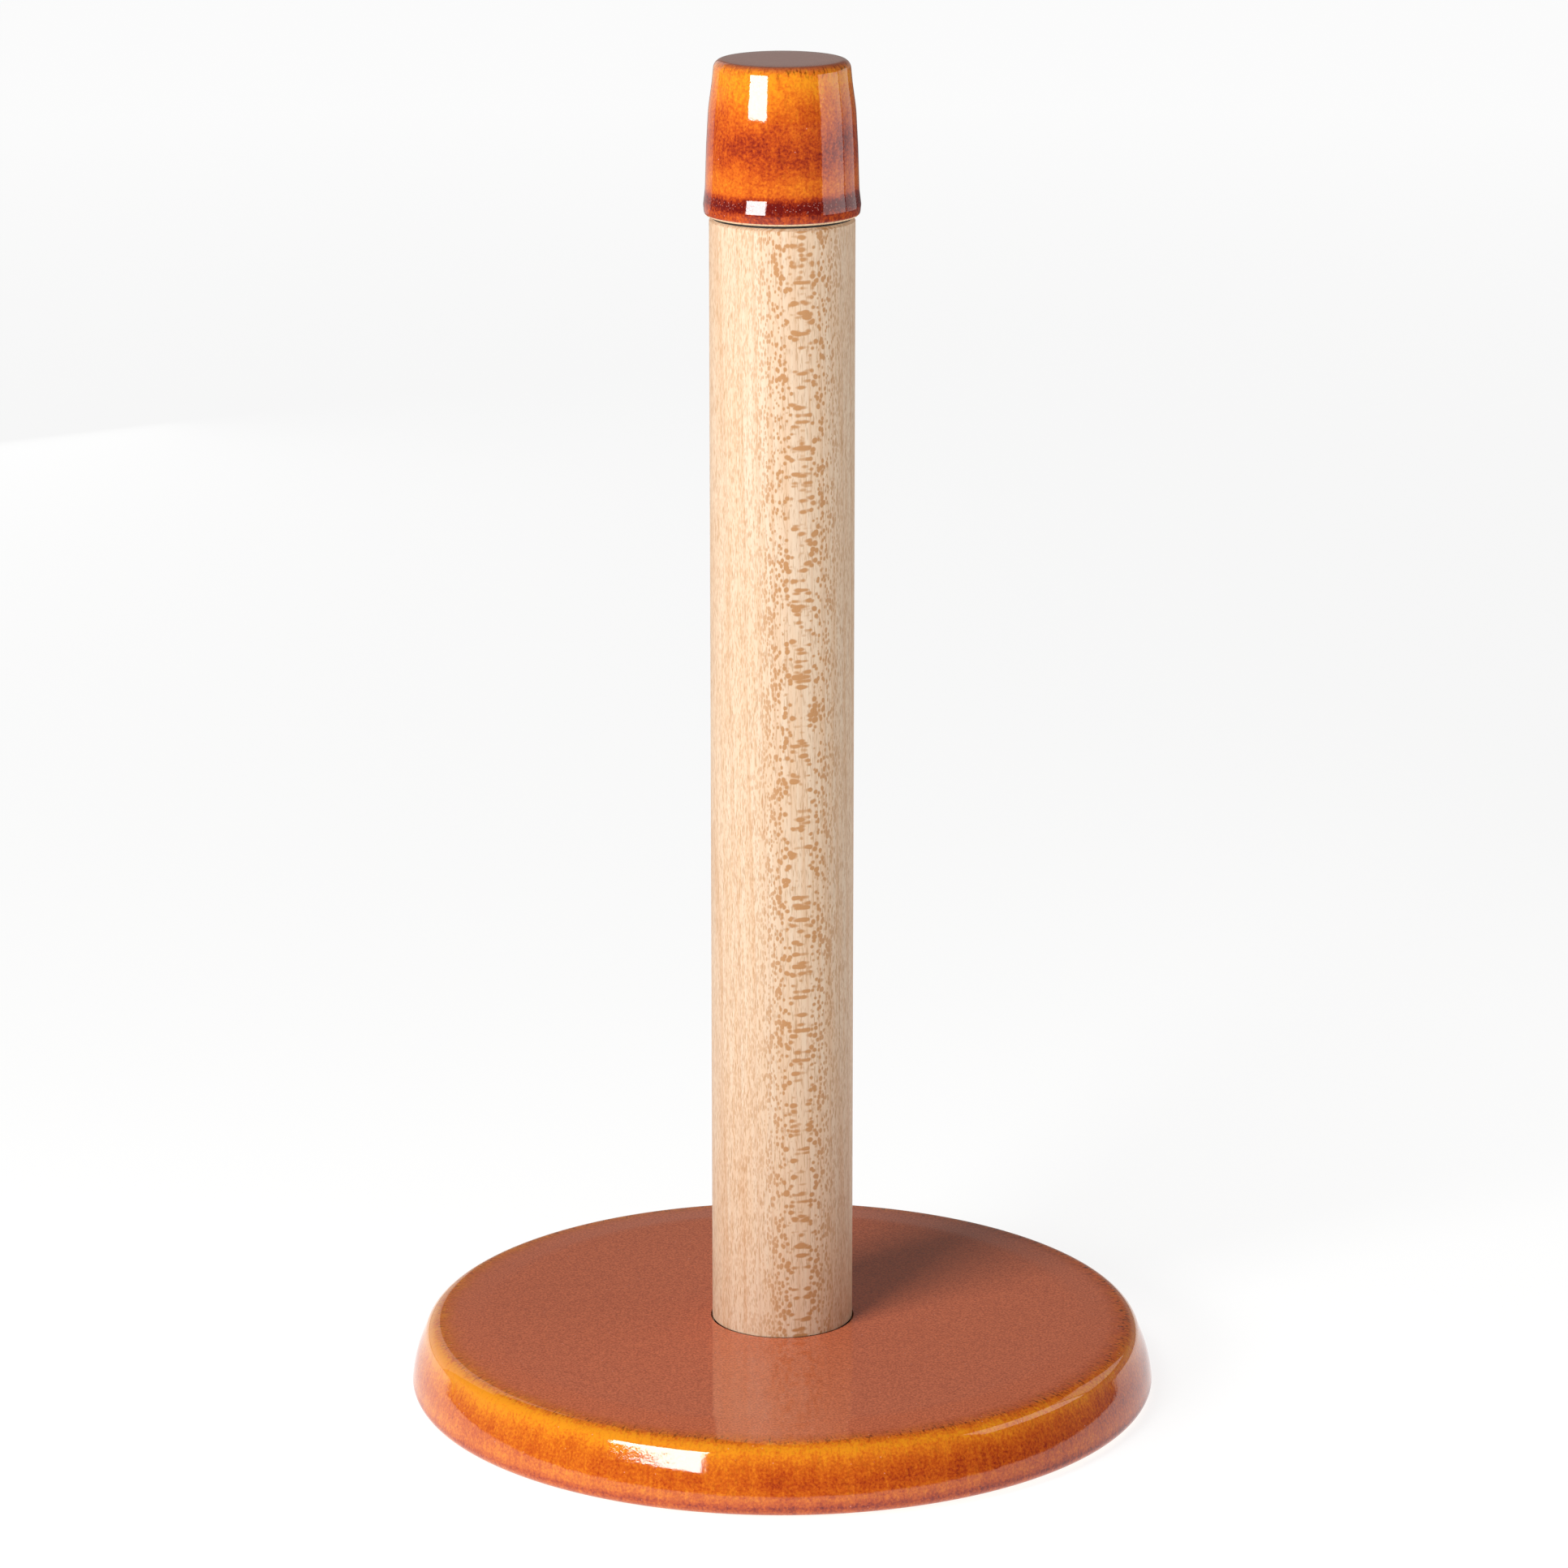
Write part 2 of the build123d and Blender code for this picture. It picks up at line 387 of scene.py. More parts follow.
    def with_iron(self, tree: Tree, place: Socket, run: Socket, level: Socket, colour: Socket) -> Socket:
        """Adds the dark iron flecks, which gather where the glaze breaks over the shoulder.

        Args:
            tree: the material's tree.
            place: the surface point.
            run: the distance down the form.
            level: how level the face is.
            colour: the glaze's colour so far.

        Returns:
            The colour socket with flecks.
        """
        iron = self.flowing(tree, place, run, self.fleck_mm, self.fleck_stretch)
        iron = add_node(tree, "MapRange", self.fleck_span.settings(), {"Value": iron}).outputs[0]
        zone = add_node(tree, "ValToRGB", {"stops": self.fleck_by_level}, {"Fac": level}).outputs["Color"]
        # the flecks are real; their thickening towards the right, away from the key light, is painted shade
        across = add_node(tree, "SeparateXYZ", {}, {"Vector": place}).outputs["X"]
        rim = self.rim_radius * MM
        shade_crowd = Span(-rim, rim, *self.fleck_crowd_as_shade).settings()
        shade_crowd = add_node(tree, "MapRange", shade_crowd, {"Value": across}).outputs[0]
        amount = add_node(tree, "Math", {"operation": "MULTIPLY"}, {0: iron, 1: zone}).outputs[0]
        amount = add_node(
            tree, "Math", {"operation": "MULTIPLY", "use_clamp": True}, {0: amount, 1: shade_crowd}
        ).outputs[0]
        return add_node(
            tree, "MixRGB", {"Color2": linear(self.iron)}, {"Fac": amount, "Color1": colour}
        ).outputs["Color"]

    def with_crystals(self, tree: Tree, place: Socket, depth: Socket, colour: Socket) -> Socket:
        """Adds pale pin-prick crystals, few on the sides and many where the glaze pools.

        Args:
            tree: the material's tree.
            place: the surface point.
            depth: the glaze's depth.
            colour: the glaze's colour so far.

        Returns:
            The colour socket with crystals.
        """
        for growth in self.crystals:
            cells = add_node(
                tree, "TexVoronoi", {"Scale": per_mm(growth.spacing_mm)}, {"Vector": place}
            ).outputs["Distance"]
            prick = add_node(tree, "MapRange", growth.span().settings(), {"Value": cells}).outputs[0]
            zone = add_node(tree, "ValToRGB", {"stops": growth.by_depth}, {"Fac": depth}).outputs["Color"]
            amount = add_node(tree, "Math", {"operation": "MULTIPLY"}, {0: prick, 1: zone}).outputs[0]
            colour = add_node(
                tree, "MixRGB", {"Color2": linear(self.crystal)}, {"Fac": amount, "Color1": colour}
            ).outputs["Color"]
        return colour

    def peel(self, tree: Tree, place: Socket, grain: Socket) -> Socket:
        """The glaze's faint orange peel, as a normal.

        Args:
            tree: the material's tree.
            place: the surface point.
            grain: the fine grain noise.

        Returns:
            The normal socket.
        """
        broad = self.even(tree, place, self.peel_mm, detail=1.0)
        slow = add_node(tree, "Bump", relief(self.peel_relief_mm), {"Height": broad}).outputs[0]
        return add_node(
            tree, "Bump", relief(self.grain_relief_mm), {"Height": grain, "Normal": slow}
        ).outputs[0]


@dataclass(frozen=True)
class BareClay:
    """Unglazed stoneware at the foot ring and the lip: buff, dry and slightly gritty."""

    name: str = "bare_clay"
    body: str = "#E6C6A0"
    grit: str = "#B98B62"
    grit_mm: float = 0.5
    grit_range: tuple[float, float] = (0.34, 0.5)
    relief_mm: float = 0.04
    ior: float = 1.5
    roughness: float = 0.85

    def material(self) -> Material:
        """Builds the bare clay.

        Returns:
            The clay as a material.
        """
        material, tree = new_material(self.name)
        place = add_node(tree, "TexCoord").outputs["Object"]
        settings = {"Scale": per_mm(self.grit_mm), "Detail": 4.0, "Roughness": 0.7}
        noise = add_node(tree, "TexNoise", settings, {"Vector": place}).outputs["Fac"]
        stops = (*zip(self.grit_range, (self.grit, self.body)), (1.0, self.body))
        colour = add_node(tree, "ValToRGB", {"stops": stops}, {"Fac": noise}).outputs["Color"]
        bump = add_node(tree, "Bump", relief(self.relief_mm), {"Height": noise}).outputs[0]
        finish_surface(
            tree, {"IOR": self.ior, "Roughness": self.roughness}, {"Base Color": colour, "Normal": bump}
        )
        return material


@dataclass(frozen=True)
class OiledBeech:
    """Turned beech under a thin matt oil.

    Beech shows its rays. A ray is a thin upright lens that lies along the tree's radius, so a solid
    pattern of such lenses gives broad flecks where the dowel's surface is parallel to them, in a
    mirrored ladder down the post, and short dashes everywhere else. The year rings are faint lines
    that run up the post and cut its face at a slant, because the log's axis leans in it. The rays and
    pores are drawn a little thicker than real ones, so that they show. Roughness 0.5 suits a thin oil.

    Angles are in degrees. A set of three sizes goes towards the heart, around the rings and up the log,
    in millimetres. ray_facing gives how strongly a ray shows by its place around the rings, as a share
    of the post's radius.
    """

    name: str = "oiled_beech"
    pale: str = "#E6CDB2"
    warm: str = "#E2C1A0"
    late: str = "#D3A984"
    ray: str = "#C08A58"
    pore: str = "#BC8F66"
    ior: float = 1.5
    roughness: float = 0.5
    gloss: float = 0.3
    post_radius: float = 16.0
    face_angle: float = 15.6
    axis_lean: float = 0.9
    tone_mm: Sizes = (0.9, 0.9, 34.0)
    tone_span: Span = Span(0.36, 0.64)
    pore_mm: Sizes = (0.3, 0.3, 2.4)
    pore_span: Span = Span(0.54, 0.68, 0.0, 0.6)
    pore_relief_mm: float = 0.02
    ray_mm: Sizes = (9.0, 0.24, 1.25)
    ray_uneven_mm: Sizes = (3.0, 0.8, 4.0)
    ray_width: Span = Span(0.3, 0.7, 0.3, 0.7)
    ray_edge: Span = Span(0.0, 0.2)
    ray_facing: Span = Span(0.86, 1.0, 0.4, 0.95)
    year_mm: float = 2.8
    year_waver: float = 2.0
    year_span: Span = Span(0.72, 0.97, 0.0, 0.45)

    def material(self) -> Material:
        """Builds the beech.

        Returns:
            The beech as a material.
        """
        material, tree = new_material(self.name)
        place = add_node(tree, "TexCoord").outputs["Object"]
        turn = (0, math.radians(self.axis_lean), -math.radians(self.face_angle))
        log = add_node(
            tree, "Mapping", {"vector_type": "POINT", "Rotation": turn}, {"Vector": place}
        ).outputs[0]
        tone = self.stretched(tree, log, self.tone_mm, detail=3.0)
        tone = add_node(tree, "MapRange", self.tone_span.settings(), {"Value": tone}).outputs[0]
        ends = {"Color1": linear(self.pale), "Color2": linear(self.warm)}
        colour = add_node(tree, "MixRGB", ends, {"Fac": tone}).outputs["Color"]
        pores = self.stretched(tree, log, self.pore_mm, detail=1.0)
        pores = add_node(tree, "MapRange", self.pore_span.settings(), {"Value": pores}).outputs[0]
        rays = self.rays(tree, log)
        for amount, shade in ((self.years(tree, log), self.late), (pores, self.pore), (rays, self.ray)):
            colour = add_node(
                tree, "MixRGB", {"Color2": linear(shade)}, {"Fac": amount, "Color1": colour}
            ).outputs["Color"]
        bump = add_node(tree, "Bump", relief(-self.pore_relief_mm), {"Height": pores}).outputs[0]
        finish_surface(
            tree,
            {"IOR": self.ior, "Roughness": self.roughness, "Specular IOR Level": self.gloss},
            {"Base Color": colour, "Normal": bump},
        )
        return material

    def rays(self, tree: Tree, log: Socket) -> Socket:
        """The rays: lenses long towards the heart, thin around the rings and short up the log.

        Args:
            tree: the material's tree.
            log: the point in the log's own directions: towards the heart, around the rings, up.

        Returns:
            The socket that says how much ray colour shows.
        """
        scale = tuple(per_mm(size) for size in self.ray_mm)
        vector = add_node(tree, "VectorMath", {"operation": "MULTIPLY", 1: scale}, {0: log}).outputs[0]
        lens = add_node(tree, "TexVoronoi", {"Scale": 1.0}, {"Vector": vector}).outputs["Distance"]
        uneven = self.stretched(tree, log, self.ray_uneven_mm, detail=1.0)
        width = add_node(tree, "MapRange", self.ray_width.settings(), {"Value": uneven}).outputs[0]
        inside = add_node(tree, "Math", {"operation": "SUBTRACT"}, {0: width, 1: lens}).outputs[0]
        inside = add_node(tree, "MapRange", self.ray_edge.settings(), {"Value": inside}).outputs[0]
        around = add_node(tree, "SeparateXYZ", {}, {"Vector": log}).outputs["Y"]
        around = add_node(tree, "Math", {"operation": "ABSOLUTE"}, {0: around}).outputs[0]
        face, reach = self.ray_facing, self.post_radius * MM
        facing = Span(face.low * reach, face.high * reach, face.start, face.end).settings()
        facing = add_node(tree, "MapRange", facing, {"Value": around}).outputs[0]
        return add_node(tree, "Math", {"operation": "MULTIPLY"}, {0: inside, 1: facing}).outputs[0]

    def years(self, tree: Tree, log: Socket) -> Socket:
        """The late wood's thin darker line at the end of each year.

        Args:
            tree: the material's tree.
            log: the point in the log's own directions.

        Returns:
            The socket that says how much late wood shows.
        """
        bands = {
            "wave_type": "BANDS",
            "bands_direction": "X",
            "wave_profile": "SAW",
            "Scale": per_mm(self.year_mm) * math.tau / WAVE_RADIANS,
            "Distortion": self.year_waver,
            "Detail": 1.0,
            "Detail Scale": 0.12,
        }
        wave = add_node(tree, "TexWave", bands, {"Vector": log}).outputs["Fac"]
        return add_node(tree, "MapRange", self.year_span.settings(), {"Value": wave}).outputs[0]

    def stretched(self, tree: Tree, log: Socket, size_mm: Sizes, detail: float) -> Socket:
        """Noise with features of a given size along the log's three directions.

        Args:
            tree: the material's tree.
            log: the point in the log's own directions: towards the heart, around the rings, up.
            size_mm: the features' size in millimetres.
            detail: octaves of finer noise.

        Returns:
            The noise socket.
        """
        scale = tuple(per_mm(size) for size in size_mm)
        vector = add_node(tree, "VectorMath", {"operation": "MULTIPLY", 1: scale}, {0: log}).outputs[0]
        return add_node(tree, "TexNoise", {"Scale": 1.0, "Detail": detail}, {"Vector": vector}).outputs["Fac"]


@dataclass(frozen=True)
class SmallPart:
    """A plain industrial finish with a fine grain: plated or turned metal, rubber, silicone or tape.

    Its roughness varies a little about a typical value, and its colour slightly darkens in the grain.
    """

    name: str
    colour: str
    shade: str
    roughness: float
    metallic: float = 0.0
    grain_mm: float = 0.4
    relief_mm: float = 0.004
    shade_range: tuple[float, float] = (0.35, 0.6)
    grain_range: tuple[float, float] = (0.3, 0.7)
    unevenness: float = 0.2

    def material(self) -> Material:
        """Builds the finish.

        Returns:
            The finish as a material.
        """
        material, tree = new_material(self.name)
        place = add_node(tree, "TexCoord").outputs["Object"]
        settings = {"Scale": per_mm(self.grain_mm), "Detail": 4.0}
        noise = add_node(tree, "TexNoise", settings, {"Vector": place}).outputs["Fac"]
        stops = tuple(zip(self.shade_range, (self.shade, self.colour)))
        colour = add_node(tree, "ValToRGB", {"stops": stops}, {"Fac": noise}).outputs["Color"]
        least, most = self.roughness * (1 - self.unevenness), self.roughness * (1 + self.unevenness)
        rough = Span(*self.grain_range, least, most).settings()
        rough = add_node(tree, "MapRange", rough, {"Value": noise}).outputs[0]
        bump = add_node(tree, "Bump", relief(self.relief_mm), {"Height": noise}).outputs[0]
        finish_surface(
            tree, {"Metallic": self.metallic}, {"Base Color": colour, "Roughness": rough, "Normal": bump}
        )
        return material


@dataclass(frozen=True)
class Corner:
    """One corner of a turned piece's outline, in millimetres, and the longest step to the next one."""

    radius: float
    height: float
    rounding: float = 0.0
    step: float = 3.0
    arc_steps: int = 12

    @property
    def at(self) -> Vector:
        """Its place, as radius and height."""
        return Vector((self.radius, self.height))


def along_stops(stops: Stops, place: float) -> float:
    """Reads a value off a chain of straight lines.

    Args:
        stops: pairs of a place and its value, in rising order of place.
        place: where to read it.

    Returns:
        The value there.
    """
    if place <= stops[0][0]:
        return stops[0][1]
    for (low, start), (high, end) in zip(stops, stops[1:]):
        if place <= high:
            return start + (end - start) * (place - low) / (high - low)
    return stops[-1][1]


def rounded_corner(before: Corner, corner: Corner, after: Corner) -> list[tuple[float, float]]:
    """Rounds one corner with an arc that touches both of its sides.

    Args:
        before: the corner before it.
        corner: the corner to round.
        after: the corner after it.

    Returns:
        The arc's points, as radius and height.
    """
    back = (before.at - corner.at).normalized()
    on = (after.at - corner.at).normalized()
    half = back.angle(on) / 2
    centre = corner.at + (back + on).normalized() * corner.rounding / math.sin(half)
    reach = corner.rounding / math.tan(half)
    start = corner.at + back * reach - centre
    sweep = start.angle_signed(corner.at + on * reach - centre)
    points: list[tuple[float, float]] = []
    for step in range(corner.arc_steps + 1):
        angle = -sweep * step / corner.arc_steps
        across = start.x * math.cos(angle) - start.y * math.sin(angle)
        up = start.x * math.sin(angle) + start.y * math.cos(angle)
        points.append((centre.x + across, centre.y + up))
    return points


def rounded_outline(corners: list[Corner]) -> list[Ring]:
    """Rounds the corners of an outline with arcs and divides its straight runs.

    Args:
        corners: the outline's corners, in order.

    Returns:
        For each ring its radius and height, and the distance along the outline.
    """
    points: list[tuple[float, float, float]] = []
    for index, corner in enumerate(corners):
        arc = [tuple(corner.at)]
        if corner.rounding and 0 < index < len(corners) - 1:
            arc = rounded_corner(corners[index - 1], corner, corners[index + 1])
        points.extend((radius, height, corner.step) for radius, height in arc)
    rings: list[Ring] = [(points[0][0], points[0][1], 0.0)]
    for (radius, height, step), (next_radius, next_height, _) in zip(points, points[1:]):
        length = math.hypot(next_radius - radius, next_height - height)
        pieces = max(1, math.ceil(length / step))
        for piece in range(1, pieces + 1):
            share = piece / pieces
            across = radius + (next_radius - radius) * share
            up = height + (next_height - height) * share
            rings.append((across, up, rings[-1][2] + length / pieces))
    return rings


def faces_between(rows: list[list[int]], segments: int) -> list[tuple[int, ...]]:
    """Joins the rings of a turned mesh with faces.

    Args:
        rows: each ring's vertices. A ring of one vertex is a point on the axis.
        segments: how many steps go round.

    Returns:
        The faces, as vertex numbers.
    """
    closed = len(rows[0]) > 1 and len(rows[-1]) > 1
    pairs = list(zip(rows, rows[1:])) + ([(rows[-1], rows[0])] if closed else [])
    faces: list[tuple[int, ...]] = []
    for lower, upper in pairs:
        for step in range(segments):
            after = (step + 1) % segments
            if len(lower) == 1:
                faces.append((lower[0], upper[after], upper[step]))
            elif len(upper) == 1:
                faces.append((lower[step], lower[after], upper[0]))
            else:
                faces.append((lower[step], lower[after], upper[after], upper[step]))
    return faces


def lathe(name: str, rings: list[Ring], segments: int, coat: Coat, shift: Shift) -> bpy.types.Object:
    """Turns rings about Z into a closed mesh, with the attributes that the glaze reads.

    Args:
        name: the piece's name.
        rings: radius, height and distance along the outline of each ring, in millimetres.
        segments: how many steps go round.
        coat: gives the glaze's depth and levelness at a radius and height.
        shift: gives the change of radius at an angle and a radius.

    Returns:
        The mesh object, linked to the scene.
    """
    vertices: list[tuple[float, float, float]] = []
    values: dict[str, list[float]] = {"glaze": [], "level": [], "run": []}
    rows: list[list[int]] = []
    for radius, height, along in rings:
        row: list[int] = []
        on_axis = radius < ON_AXIS
        depth, level = coat(radius, height)
        for step in range(1 if on_axis else segments):
            angle = math.tau * step / segments
            reach = 0.0 if on_axis else (radius + shift(angle, radius)) * MM
            row.append(len(vertices))
            vertices.append((reach * math.cos(angle), reach * math.sin(angle), height * MM))
            for label, number in (("glaze", depth), ("level", level), ("run", along * MM)):
                values[label].append(number)
        rows.append(row)
    mesh = bpy.data.meshes.new(name)
    mesh.from_pydata(vertices, [], faces_between(rows, segments))
    for label, numbers in values.items():
        mesh.attributes.new(label, "FLOAT", "POINT").data.foreach_set("value", numbers)
    mesh.validate()
    mesh.shade_smooth()
    piece = bpy.data.objects.new(name, mesh)
    bpy.context.scene.collection.objects.link(piece)
    return piece


def lobed(angle: float, lobes: Lobes) -> float:
    """How far inside its turned circle a rim lies, as a share from 0 to -1.

    Args:
        angle: the direction, in radians.
        lobes: for each swell how often it comes round the rim, its size and its turn in radians.

    Returns:
        The share.
    """
    swing = sum(size * math.sin(count * angle + turn) for count, size, turn in lobes)
    most = sum(size for _, size, _ in lobes)
    return (swing - most) / (2 * most)


def place_piece(piece: bpy.types.Object, node: str) -> None:
    """Rides a piece on the holder, and hides the node it stands for.

    Args:
        piece: the finished mesh.
        node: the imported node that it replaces.
    """
    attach(piece, BODY)
    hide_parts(node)
    LOG.info("built %s (%d faces)", piece.name, len(piece.data.polygons))


def dress_node(node: str, material: Material) -> None:
    """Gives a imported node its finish.

    Args:
        node: the node's name.
        material: its finish.
    """
    for slot in frame["nodes"][node].material_slots:
        slot.link = "OBJECT"
        slot.material = material
    LOG.info("dressed %s", node)


def split_bare(
    piece: bpy.types.Object, glaze: Material, clay: Material, bare: Callable[[Vector], bool]
) -> None:
    """Gives a piece two materials: bare clay where the test says so, and glaze elsewhere.

    Args:
        piece: the mesh object.
        glaze: the glaze material.
        clay: the bare clay material.
        bare: tells from a face's centre, in millimetres, whether it is unglazed.
    """
    piece.data.materials.append(glaze)
    piece.data.materials.append(clay)
    for face in piece.data.polygons:
        face.material_index = int(bare(face.center / MM))


@dataclass
class StonewareBase:
    """The thick round plate: a flat top, a rolled shoulder, a leaning side and a hollow underside.

    Heights are above the table. side_depth gives the glaze's depth by height, and top_level gives how
    level the top is by radius. A wipe or glaze edge says how far from its corner the glaze ends.
    """

    segments: int = 320
    curve_step: float = 0.5
    top_step: float = 1.0
    bolt_hole_radius: float = 3.5
    seat_radius: float = 16.25
    seat_depth: float = 1.4
    seat_rounding: float = 0.4
    seat_rim_rounding: float = 0.3
    flat_radius: float = 68.0
    flat_rounding: float = 60.0
    shoulder_radius: float = 80.8
    shoulder_drop: float = 0.7
    shoulder_rounding: float = 3.8
    shoulder_arc_steps: int = 18
    belly_radius: float = 84.2
    belly_height: float = 7.6
    belly_rounding: float = 26.0
    foot_corner: float = 85.25
    foot_height: float = 0.8
    foot_rounding: float = 2.2
    foot_ring_inner: float = 65.0
    ring_rounding: float = 1.2
    draft: float = 2.0
    recess_height: float = 6.5
    recess_rounding: float = 2.5
    boss_radius: float = 21.0
    boss_height: float = 1.8
    counterbore_radius: float = 11.3
    counterbore_height: float = 10.4
    counterbore_rounding: float = 0.6
    foot_wipe_height: float = 0.35
    foot_wipe_edge: float = 1.0
    boss_wipe_edge: float = 0.8
    seat_glaze_edge: float = 0.2
    under_coat: tuple[float, float] = (0.62, 0.4)
    level_above: float = 14.0
    side_depth: Stops = (
        (0.8, 0.25),
        (1.3, 0.5),
        (2.3, 0.56),
        (2.9, 0.72),
        (3.6, 0.54),
        (4.6, 0.38),
        (8.0, 0.52),
        (11.5, 0.38),
        (13.6, 0.16),
        (15.2, 0.02),
        (16.1, 0.26),
        (16.4, 0.42),
    )
    top_level: Stops = ((70.0, 1.0), (74.5, 0.82), (77.0, 0.46), (78.8, 0.2), (80.2, 0.0))
    out_of_round: Wear = Wear.THROWN
    lobes: Lobes = ((2, 1.0, 0.7), (3, 0.5, 2.1), (7, 0.25, 0.0))
    glaze: BreakingGlaze = BreakingGlaze("base_glaze", rim_radius=80.0)

    def outline(self) -> list[Corner]:
        """The half section, from the seat out over the top and back underneath.

        Returns:
            Its corners.
        """
        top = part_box("base_plate")[1].z / MM
        seat = top - self.seat_depth
        shoulder = (self.shoulder_radius, top - self.shoulder_drop)
        recess_outer = self.foot_ring_inner - self.draft
        recess_inner = self.boss_radius + self.draft
        bore, bore_top = self.counterbore_radius, self.counterbore_height
        return [
            Corner(self.bolt_hole_radius, seat),
            Corner(self.seat_radius, seat, self.seat_rounding),
            Corner(self.seat_radius, top, self.seat_rim_rounding),
            Corner(self.flat_radius, top, self.flat_rounding, self.top_step),
            Corner(*shoulder, self.shoulder_rounding, self.curve_step, self.shoulder_arc_steps),
            Corner(self.belly_radius, self.belly_height, self.belly_rounding, self.curve_step),
            Corner(self.foot_corner, self.foot_height, self.foot_rounding),
            Corner(self.foot_ring_inner, self.foot_height, self.ring_rounding),
            Corner(recess_outer, self.recess_height, self.recess_rounding),
            Corner(recess_inner, self.recess_height, self.recess_rounding),
            Corner(self.boss_radius, self.boss_height, self.ring_rounding),
            Corner(bore, self.boss_height, self.counterbore_rounding),
            Corner(bore, bore_top, self.counterbore_rounding),
            Corner(self.bolt_hole_radius, bore_top),
        ]

    def coat(self, radius: float, height: float) -> tuple[float, float]:
        """How the glaze lies at a place.

        Args:
            radius: the distance from the axis, in millimetres.
            height: the height, in millimetres.

        Returns:
            The glaze's depth, and how level the face is.
        """
        if radius < self.foot_ring_inner and height < self.recess_height + HAIR:
            return self.under_coat
        level = along_stops(self.top_level, radius) if height > self.level_above else 0.0
        return along_stops(self.side_depth, height), level

    def unevenness(self, angle: float, radius: float) -> float:
        """A thrown rim is never quite round: it stays within the turned form.

        Args:
            angle: the direction, in radians.
            radius: the turned radius, in millimetres.

        Returns:
            The change of radius, in millimetres.
        """
        share = min(1.0, max(0.0, (radius - self.flat_radius) / (self.foot_corner - self.flat_radius)))
        return self.out_of_round.value * share * lobed(angle, self.lobes)

    def is_bare(self, centre: Vector) -> bool:
        """Tells whether a face is on the wiped foot ring, the boss or a bolt bore.

        Args:
            centre: the face's centre, in millimetres.

        Returns:
            Whether it is unglazed.
        """
        radius = math.hypot(centre.x, centre.y)
        on_foot = (
            centre.z < self.foot_height + self.foot_wipe_height
            and radius > self.foot_ring_inner - self.foot_wipe_edge
        )
        under_boss = (
            radius < self.boss_radius - self.boss_wipe_edge and centre.z < self.counterbore_height + HAIR
        )
        in_seat = radius < self.seat_radius - self.seat_glaze_edge and centre.z > self.counterbore_height
        return on_foot or under_boss or in_seat

    def build(self, clay: Material) -> None:
        """Builds and dresses the base.

        Args:
            clay: the bare clay.
        """
        rings = rounded_outline(self.outline())
        piece = lathe("stoneware_base", rings, self.segments, self.coat, self.unevenness)
        split_bare(piece, self.glaze.material(), clay, self.is_bare)
        place_piece(piece, "base_plate")


